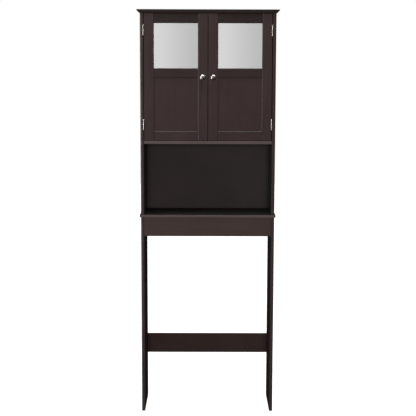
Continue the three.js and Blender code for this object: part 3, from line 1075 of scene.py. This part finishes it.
@dataclass
class LegFrame:
    """What carries the cabinet: ledge, apron, legs, stretcher and glides."""

    fasteners: FastenerBox
    front_round: float = 7 * MM
    panel_arris: float = 1.4 * MM
    apron_arris: float = 1.5 * MM
    ledge_round: float = 3 * MM
    glide_disc: float = 2.5 * MM
    glide_edge: float = 1.2 * MM
    glide_nail: float = 1.0 * MM
    cam_inset: float = 24 * MM
    cam_down: float = 26 * MM
    cam_from_edge: float = 60 * MM

    def build(self) -> None:
        """Makes every piece of the leg frame."""
        self.make_ledge()
        Board("front_apron", APRON_PAINTED_LIGHT, self.apron_arris).build()
        Board("rear_stretcher", STRETCHER_PAINTED_SHADE).build()
        for side, sign in SIDES.items():
            Board(f"{side}_leg_panel", UPRIGHT_BOARD, self.panel_arris).build(sign, self.front_round)
            self.make_glides(side)
        self.place_cams()

    def make_ledge(self) -> None:
        """The ledge shelf, with a rounded nose along its front and ends, painted light on its front in a
        lighter lacquer and painted shade on its top in a near-black one.
        """
        node = "ledge_shelf"
        low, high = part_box(node)
        box_edge, back = on_box(low, high), at_level(1, high.y)
        nose = (self.ledge_round, lambda a, b: box_edge(a, b) and not back(a, b), 5, 1)
        piece = work_copy(node, "board", [nose])
        # Faces that look up take the near-black lacquer, painted shade; the rest take the lighter ledge
        # lacquer, painted light.
        paint(piece, 0, lambda normal: normal.z <= 0.6)
        paint(piece, 1, lambda normal: normal.z > 0.6)
        dress(piece, "carcass", Slot.BOARD, [LEDGE_PAINTED_LIGHT, LEDGE_TOP_PAINTED_SHADE], [node])

    def make_glides(self, side: str) -> None:
        """Makes the two nail-on glides of a leg, domed underneath.

        Args:
            side: The leg's side.
        """
        disc, edge, nail = self.glide_disc, self.glide_edge, self.glide_nail
        for end in ("front", "back"):
            node = f"{side}_{end}_glide"
            low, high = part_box(node)
            radius, height = (high.x - low.x) / 2, high.z - low.z
            profile = [
                (0.0, 0.0),
                (radius - 3 * edge, 0.0),
                *arc((radius - edge, edge), (edge, 0.8 * edge), (-75, 0), 5),
                (radius, disc),
                (nail, disc),
                (nail, height - 2 * nail),
                (0.0, height),
            ]
            foot = middle(node)
            foot.z = low.z
            piece = add_turned(f"{node}_turned", profile, foot, Vector((0, 0, 1)), 40)
            smooth(piece)
            dress(piece, "carcass", Slot.GLIDE, [BLACK_POLYTHENE], [node])

    def place_cams(self) -> None:
        """Cam fittings: behind the apron, and at the tops of the legs."""
        cam = self.fasteners.cam
        low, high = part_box("front_apron")
        for side, sign in SIDES.items():
            place = Vector((sign * (high.x - self.cam_inset), high.y, (low.z + high.z) / 2))
            cam.put(f"{side}_front_apron_cam", "carcass", place, -TO_FRONT)
        for side, sign in SIDES.items():
            node = f"{side}_leg_panel"
            low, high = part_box(node)
            for end, y in (("front", low.y + self.cam_from_edge), ("back", high.y - self.cam_from_edge)):
                place = Vector((reach(node, -sign), y, high.z - self.cam_down))
                cam.put(f"{side}_{end}_leg_cam", "carcass", place, Vector((-sign, 0, 0)))


# ---------------------------------------------------------------- hinges


@dataclass
class Hinge:
    """A five-knuckle butt hinge: two leaves, a pin with domed ends, and two screws in each leaf."""

    side: str
    level: str
    fasteners: FastenerBox
    knuckles: int = 5
    seam: float = 0.25 * MM
    parting: float = 0.4 * MM
    leaf: float = 0.8 * MM
    bore: float = 1.75 * MM
    cap: float = 1.25 * MM
    corner: float = 1.5 * MM
    knuckle_ease: float = 0.3 * MM
    screw_spread: float = 13 * MM
    steps: int = 48

    def __post_init__(self) -> None:
        """Reads the hinge's place from its pin and its leaves."""
        self.label = f"{self.side}_{self.level}_hinge"
        self.sign = SIDES[self.side]
        low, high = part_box(f"{self.label}_pin")
        self.radius = (high.x - low.x) / 2
        self.axis = Vector(((low.x + high.x) / 2, (low.y + high.y) / 2, 0.0))
        plate_low, plate_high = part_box(f"{self.label}_door_leaf")
        self.bottom, self.top = plate_low.z, plate_high.z
        self.far = plate_high.y

    def build(self) -> None:
        """Makes the leaves, the pin and the screws."""
        self.make_leaf("cabinet_leaf", "carcass", self.sign, range(0, self.knuckles, 2))
        self.make_leaf("door_leaf", f"{self.side}_door", -self.sign, range(1, self.knuckles, 2))
        self.make_pin()

    def make_leaf(self, leaf: str, body: str, toward: int, knuckles: Sequence[int]) -> None:
        """Makes one leaf with its knuckles and screws.

        Args:
            leaf: The leaf's name within the hinge.
            body: The body that it rides on.
            toward: The side of the closed gap that it lies on.
            knuckles: The knuckles that it carries, counted from the bottom.
        """
        node = f"{self.label}_{leaf}"
        near_face = self.axis.x + toward * self.parting / 2
        far_face = near_face + toward * self.leaf
        across = sorted((near_face, far_face))
        start = self.axis.y + self.radius + self.seam
        plate = add_block(
            f"{node}_pressed",
            Vector((across[0], start, self.bottom)),
            Vector((across[1], self.far, self.top)),
        )
        far_edge = at_level(1, self.far)
        ease(plate, self.corner, lambda a, b: far_edge(a, b) and abs(a.z - b.z) < SAME_PLACE, 4)
        pitch = (self.top - self.bottom + self.seam) / self.knuckles
        for number in knuckles:
            low = self.bottom + number * pitch
            high = low + pitch - self.seam
            lower, upper = self.axis + Vector((0, 0, low)), self.axis + Vector((0, 0, high))
            barrel = add_bar("knuckle", self.radius, (lower, upper), self.steps)
            ease(barrel, self.knuckle_ease, every_edge, 2)
            web = add_block(
                "web",
                Vector((across[0], self.axis.y + self.radius / 2, low)),
                Vector((across[1], start + MM, high)),
            )
            combine(barrel, web, Boolean.JOIN)
            beyond = Vector((0, 0, MM))
            bore = add_bar("bore", self.bore, (lower - beyond, upper + beyond), 24)
            combine(barrel, bore, Boolean.CUT)
            combine(plate, barrel, Boolean.JOIN)
        smooth(plate, 35)
        dress(plate, body, Slot.NICKEL, [HINGE_NICKEL], [node])
        middle = Vector((near_face, (start + self.far) / 2, (self.bottom + self.top) / 2))
        for name, spread in (("lower", -self.screw_spread), ("upper", self.screw_spread)):
            place = middle + Vector((0, 0, spread))
            self.fasteners.hinge.put(f"{node}_{name}_screw", body, place, Vector((-toward, 0, 0)))

    def make_pin(self) -> None:
        """The hinge pin, with a domed cap over each end of the barrel."""
        node = f"{self.label}_pin"
        low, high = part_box(node)
        length = high.z - low.z
        shank = self.bore - self.seam
        profile = [
            *arc((0, self.cap), (self.radius, self.cap), (-90, 0), 8),
            (shank, self.cap),
            (shank, length - self.cap),
            *arc((0, length - self.cap), (self.radius, self.cap), (0, 90), 8),
        ]
        foot = Vector((self.axis.x, self.axis.y, low.z))
        piece = add_turned(f"{node}_turned", profile, foot, Vector((0, 0, 1)), self.steps)
        smooth(piece, 35)
        dress(piece, "carcass", Slot.NICKEL, [HINGE_NICKEL], [node])


# ---------------------------------------------------------------- doors


@dataclass
class Door:
    """A glazed door: frame, panel, pane, retainer, knob and strike plate, with its two hinges."""

    side: str
    fasteners: FastenerBox
    sticking: float = 3.5 * MM
    arris: float = 1.8 * MM
    # Leaning further than this, an edge gets painted shade instead of a painted highlight.
    turned_away: float = 0.2  # how far a normal leans right or down before its edge looks dark
    panel_arris: float = 0.5 * MM
    retainer_arris: float = 0.8 * MM
    knob_neck: float = 4.5 * MM
    knob_foot: float = 7 * MM
    knob_foot_edge: float = 1.5 * MM
    knob_foot_break: float = 0.3 * MM
    knob_flare: float = 3.5 * MM
    knob_head: float = 11 * MM
    knob_round: float = 3 * MM
    screw_hole: float = 2.25 * MM
    screw_hole_depth: float = 10 * MM
    screw_head: float = 2.5 * MM
    screw_shank: float = 2 * MM
    screw_recess: tuple[float, float] = (2.2 * MM, 0.9 * MM)
    strike_corner: float = 1.5 * MM
    strike_arris: float = 0.2 * MM

    def __post_init__(self) -> None:
        """Reads the door's side."""
        self.body = f"{self.side}_door"
        self.sign = SIDES[self.side]

    def build(self) -> None:
        """Makes every piece of the door."""
        self.make_frame()
        self.make_panel()
        self.make_glazing()
        self.make_knob()
        self.make_knob_screw()
        self.make_strike()
        for level in ("upper", "lower"):
            Hinge(self.side, level, self.fasteners).build()

    def node(self, piece: str) -> str:
        """The full name of one of the door's nodes."""
        return f"{self.side}_door_{piece}"

    def make_frame(self) -> None:
        """Stiles and rails: the edges round the panel and the pane get a rounded sticking. Stickings and
        front arrises carry painted highlights; stickings that face right or down carry painted shade, and
        front arrises that face right stay plain.
        """
        for name, finish, axis, ends in (
            ("hinge_stile", UPRIGHT_BOARD, 0, [-self.sign]),
            ("knob_stile", UPRIGHT_BOARD, 0, [self.sign]),
            ("top_rail", TOP_RAIL_PAINTED_SHADE, 2, [-1]),
            ("middle_rail", MIDDLE_RAIL_PAINTED_SHADE, 2, [-1, 1]),
            ("bottom_rail", ACROSS_BOARD, 2, [1]),
        ):
            node = self.node(name)
            low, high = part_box(node)
            in_face = at_level(1, low.y)
            inner = [at_level(axis, (high if end > 0 else low)[axis]) for end in ends]
            eases = [
                (self.sticking, lambda a, b: in_face(a, b) and any(test(a, b) for test in inner), 4, LIT_ARRIS),
                (self.arris, in_face, 2, LIT_RIM),
                (self.arris / 2, at_level(1, high.y), 2),
            ]
            piece = work_copy(node, "board", eases, 35)
            # Stickings that face right or down get the darker lacquer, painted shade; front arrises that face
            # right lose their painted highlight.
            for polygon in piece.data.polygons:
                right, down = polygon.normal.x > self.turned_away, polygon.normal.z < -self.turned_away
                if polygon.material_index == LIT_ARRIS and (right or down):
                    polygon.material_index = SHADED_EDGE
                elif polygon.material_index == LIT_RIM and right:
                    polygon.material_index = PLAIN
            dress(piece, self.body, Slot.BOARD, [finish, ARRIS_PAINTED_HIGHLIGHT, EDGE_PAINTED_SHADE, RIM_PAINTED_HIGHLIGHT], [node])

    def make_panel(self) -> None:
        """The flat panel in its groove."""
        node = self.node("panel")
        piece = work_copy(node, "board", [(self.panel_arris, every_edge, 2)])
        dress(piece, self.body, Slot.BOARD, [UPRIGHT_BOARD], [node])

    def make_glazing(self) -> None:
        """The etched pane and the retainer that holds it."""
        node = self.node("glass")
        low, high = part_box(node)
        pane = work_copy(node, "pane", [(self.panel_arris, every_edge, 2)])
        finish = AcidEtchedGlass(f"acid_etched_glass_{self.side}", low.x, high.x)
        dress(pane, self.body, Slot.GLASS, [finish], [node])
        node = self.node("glass_retainer")
        rear = at_level(1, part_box(node)[1].y)
        retainer = work_copy(node, "moulding", [(self.retainer_arris, rear, 3)])
        dress(retainer, self.body, Slot.PLASTIC, [BROWN_PLASTIC], [node])

    def make_knob(self) -> None:
        """The knob, turned about the axis of its screw."""
        node = self.node("knob")
        low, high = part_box(node)
        centre = middle(node)
        centre.y = high.y
        radius, height = (high.x - low.x) / 2, high.y - low.y
        round_ = self.knob_round
        flare = self.knob_foot - self.knob_neck
        neck_top = height - self.knob_head - round_
        widest = height - self.knob_head + round_
        foot_top = self.knob_foot_edge + self.knob_flare
        profile = [
            (0.0, self.screw_hole_depth),
            (self.screw_hole, self.screw_hole_depth),
            (self.screw_hole, 0.0),
            (self.knob_foot - self.knob_foot_break, 0.0),
            (self.knob_foot, self.knob_foot_break),
            *arc((self.knob_foot, foot_top), (flare, self.knob_flare), (270, 180), 8),
            *arc((self.knob_neck + round_, neck_top), (round_, round_), (180, 90), 8),
            *arc((radius - round_, widest), (round_, round_), (270, 360), 10),
            *arc((0, widest), (radius, height - widest), (0, 90), 16)[1:-1],
            (0.0, height),
        ]
        piece = add_turned(f"{node}_turned", profile, centre, TO_FRONT, 64)
        smooth(piece, 35)
        finish = TurnedNickel(f"turned_satin_nickel_{self.side}", tuple(centre))
        dress(piece, self.body, Slot.NICKEL, [finish], [node])

    def make_knob_screw(self) -> None:
        """The screw that holds the knob from inside the door."""
        node = self.node("knob_screw")
        low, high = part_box(node)
        head = self.screw_head
        kind = Fastener(
            head=Head.PAN,
            radius=(high.x - low.x) / 2,
            height=head,
            shank_radius=self.screw_shank,
            shank_length=high.y - low.y - head,
            recess=self.screw_recess[0],
            recess_width=self.screw_recess[1],
            finish=ZINC,
            slot=Slot.ZINC,
        )
        seat = middle(node)
        seat.y = high.y - head
        kind.put(f"{node}_headed", self.body, seat, -TO_FRONT, [node])
        kind.put_away()

    def make_strike(self) -> None:
        """The steel strike plate that the magnet holds."""
        node = self.node("strike_plate")
        rear = at_level(1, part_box(node)[1].y)
        eases = [
            (self.strike_corner, lambda a, b: abs(a.y - b.y) > SAME_PLACE, 4),
            (self.strike_arris, rear, 2),
        ]
        piece = work_copy(node, "pressed", eases, 35)
        dress(piece, self.body, Slot.ZINC, [ZINC], [node])


@dataclass
class MagneticCatch:
    """The double magnetic catch under the crown."""

    fasteners: FastenerBox
    pole: float = 1 * MM
    set_back: float = 0.4 * MM
    housing_arris: float = 0.7 * MM
    magnet_arris: float = 0.2 * MM
    pole_arris: float = 0.15 * MM

    def build(self) -> None:
        """Makes the housing, its screw, and the two magnets between their pole plates."""
        node = "catch_housing"
        low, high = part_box(node)
        housing = work_copy(node, "moulding", [(self.housing_arris, on_box(low, high), 3)])
        dress(housing, "carcass", Slot.PLASTIC, [BROWN_PLASTIC], [node])
        seat = Vector(((low.x + high.x) / 2, (low.y + high.y) / 2, low.z))
        self.fasteners.pan.put("catch_housing_screw", "carcass", seat, Vector((0, 0, -1)))
        for side in SIDES:
            node = f"{side}_catch_magnet"
            low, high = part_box(node)
            block = add_block(
                f"{node}_block",
                Vector((low.x, low.y + self.set_back, low.z + self.pole)),
                Vector((high.x, high.y, high.z - self.pole)),
            )
            ease(block, self.magnet_arris, every_edge, 1)
            smooth(block)
            dress(block, "carcass", Slot.FERRITE, [FERRITE], [node])
            for name, z in (("lower", low.z), ("upper", high.z - self.pole)):
                plate = add_block(
                    f"{side}_catch_{name}_pole",
                    Vector((low.x, low.y, z)),
                    Vector((high.x, high.y, z + self.pole)),
                )
                ease(plate, self.pole_arris, every_edge, 1)
                smooth(plate)
                dress(plate, "carcass", Slot.ZINC, [ZINC])


# ---------------------------------------------------------------- studio


@dataclass(frozen=True)
class Sun:
    """A broad far light, the same all over the object, which isn't mirrored in its gloss.

    azimuth is measured from straight in front towards +X, and elevation above the horizon, in degrees.
    """

    name: str
    azimuth: float
    elevation: float
    strength: float
    spread: float

    def place(self) -> None:
        """Puts the light in the scene."""
        data = bpy.data.lights.new(self.name, "SUN")
        data.energy = self.strength
        data.angle = math.radians(self.spread)
        light = bpy.data.objects.new(self.name, data)
        bpy.context.scene.collection.objects.link(light)
        turn, rise = math.radians(self.azimuth), math.radians(self.elevation)
        level = math.cos(rise)
        back = Vector((math.sin(turn) * level, -math.cos(turn) * level, math.sin(rise)))
        light.rotation_euler = back.to_track_quat("Z", "Y").to_euler()
        light.visible_glossy = False


@dataclass(frozen=True)
class Strip:
    """A softbox that shows in the gloss of edges and metal and adds little light of its own."""

    name: str
    position: tuple[float, float, float]
    target: tuple[float, float, float]
    width: float
    height: float
    watts: float

    def place(self) -> None:
        """Puts the softbox in the scene."""
        data = bpy.data.lights.new(self.name, "AREA")
        data.shape = "RECTANGLE"
        data.size = self.width
        data.size_y = self.height
        data.energy = self.watts
        light = bpy.data.objects.new(self.name, data)
        bpy.context.scene.collection.objects.link(light)
        light.location = self.position
        back = Vector(self.position) - Vector(self.target)
        light.rotation_euler = back.to_track_quat("Z", "Y").to_euler()
        light.visible_camera = False
        light.visible_diffuse = False


@dataclass
class Studio:
    """The pale floor, the lights and the camera."""

    lens: float = 81.987
    shift_up: float = -0.02
    camera_place: tuple[float, float, float] = (-0.007, -4.02889, 1.40757)
    camera_pitch: float = -0.12394
    camera_yaw: float = -0.00214
    camera_roll: float = 0.00265
    floor_reach: float = 9.0
    dim: float = 0.1
    dark: float = 0.02
    suns: tuple[Sun, ...] = (
        Sun("key_light", 0, 3, 3.9, 14),
        Sun("back_light", 180, 38, 1.8, 12),
        Sun("left_light", -90, 5, 0.8, 4),
        Sun("right_light", 90, 5, 0.8, 4),
    )
    strips: tuple[Strip, ...] = (
        Strip("left_strip", (-2.8, -1.3, 1.0), (0, 0, 1.0), 0.9, 2.6, 60),
        Strip("top_strip", (0.0, -0.9, 3.6), (0, 0, 1.0), 2.4, 0.9, 60),
        Strip("front_box", (-1.2, -4.6, 1.8), (0, 0, 1.1), 1.6, 1.6, 4),
    )

    def build(self) -> None:
        """Sets up the whole studio."""
        self.lay_floor()
        self.set_world()
        for light in (*self.suns, *self.strips):
            light.place()
        self.set_camera()
        bpy.context.scene.view_settings.view_transform = "Standard"

    def lay_floor(self) -> None:
        """Lays the paper floor, which lights nothing and isn't mirrored in the object."""
        deselect_all()
        bpy.ops.mesh.primitive_plane_add(size=2 * self.floor_reach)
        floor = new_piece("studio_floor")
        floor.data.materials.append(StudioPaper().material())
        floor.visible_diffuse = False
        floor.visible_glossy = False
        floor.visible_transmission = False

    def set_world(self) -> None:
        """White behind the object, a dim even light on it, and darkness for its gloss to mirror."""
        world = bpy.data.worlds.new("studio_world")
        bpy.context.scene.world = world
        world.use_nodes = True
        tree = world.node_tree
        tree.nodes.clear()
        path = add_node(tree, "ShaderNodeLightPath")
        white = (1.0, 1.0, 1.0, 1.0)
        backdrop = add_node(tree, "ShaderNodeBackground", {"Color": white, "Strength": 1.0})
        ambient = add_node(tree, "ShaderNodeBackground", {"Color": white, "Strength": self.dim})
        surround = add_node(tree, "ShaderNodeBackground", {"Color": white, "Strength": self.dark})
        lit = add_node(
            tree,
            "ShaderNodeMixShader",
            {0: path.outputs["Is Glossy Ray"], 1: ambient.outputs[0], 2: surround.outputs[0]},
        )
        mixed = add_node(
            tree,
            "ShaderNodeMixShader",
            {0: path.outputs["Is Camera Ray"], 1: lit.outputs[0], 2: backdrop.outputs[0]},
        )
        add_node(tree, "ShaderNodeOutputWorld", {"Surface": mixed.outputs[0]})

    def set_camera(self) -> None:
        """Stands the camera in front of the cabinet doors, looking slightly down."""
        data = bpy.data.cameras.new("studio_camera")
        data.lens = self.lens
        data.shift_y = self.shift_up
        camera = bpy.data.objects.new("studio_camera", data)
        bpy.context.scene.collection.objects.link(camera)
        turn = Matrix.Rotation(self.camera_yaw, 4, "Z")
        tilt = Matrix.Rotation(math.pi / 2 + self.camera_pitch, 4, "X")
        roll = Matrix.Rotation(self.camera_roll, 4, "Z")
        camera.matrix_world = Matrix.Translation(self.camera_place) @ turn @ tilt @ roll
        bpy.context.scene.camera = camera


def main() -> None:
    """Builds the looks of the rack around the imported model."""
    logging.basicConfig(level=logging.INFO, format="%(name)s: %(message)s")
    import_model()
    fasteners = FastenerBox()
    Carcass(fasteners).build()
    LegFrame(fasteners).build()
    MagneticCatch(fasteners).build()
    for side in SIDES:
        Door(side, fasteners).build()
    fasteners.put_away()
    Studio().build()
    deselect_all()


if __name__ == "__main__":
    main()
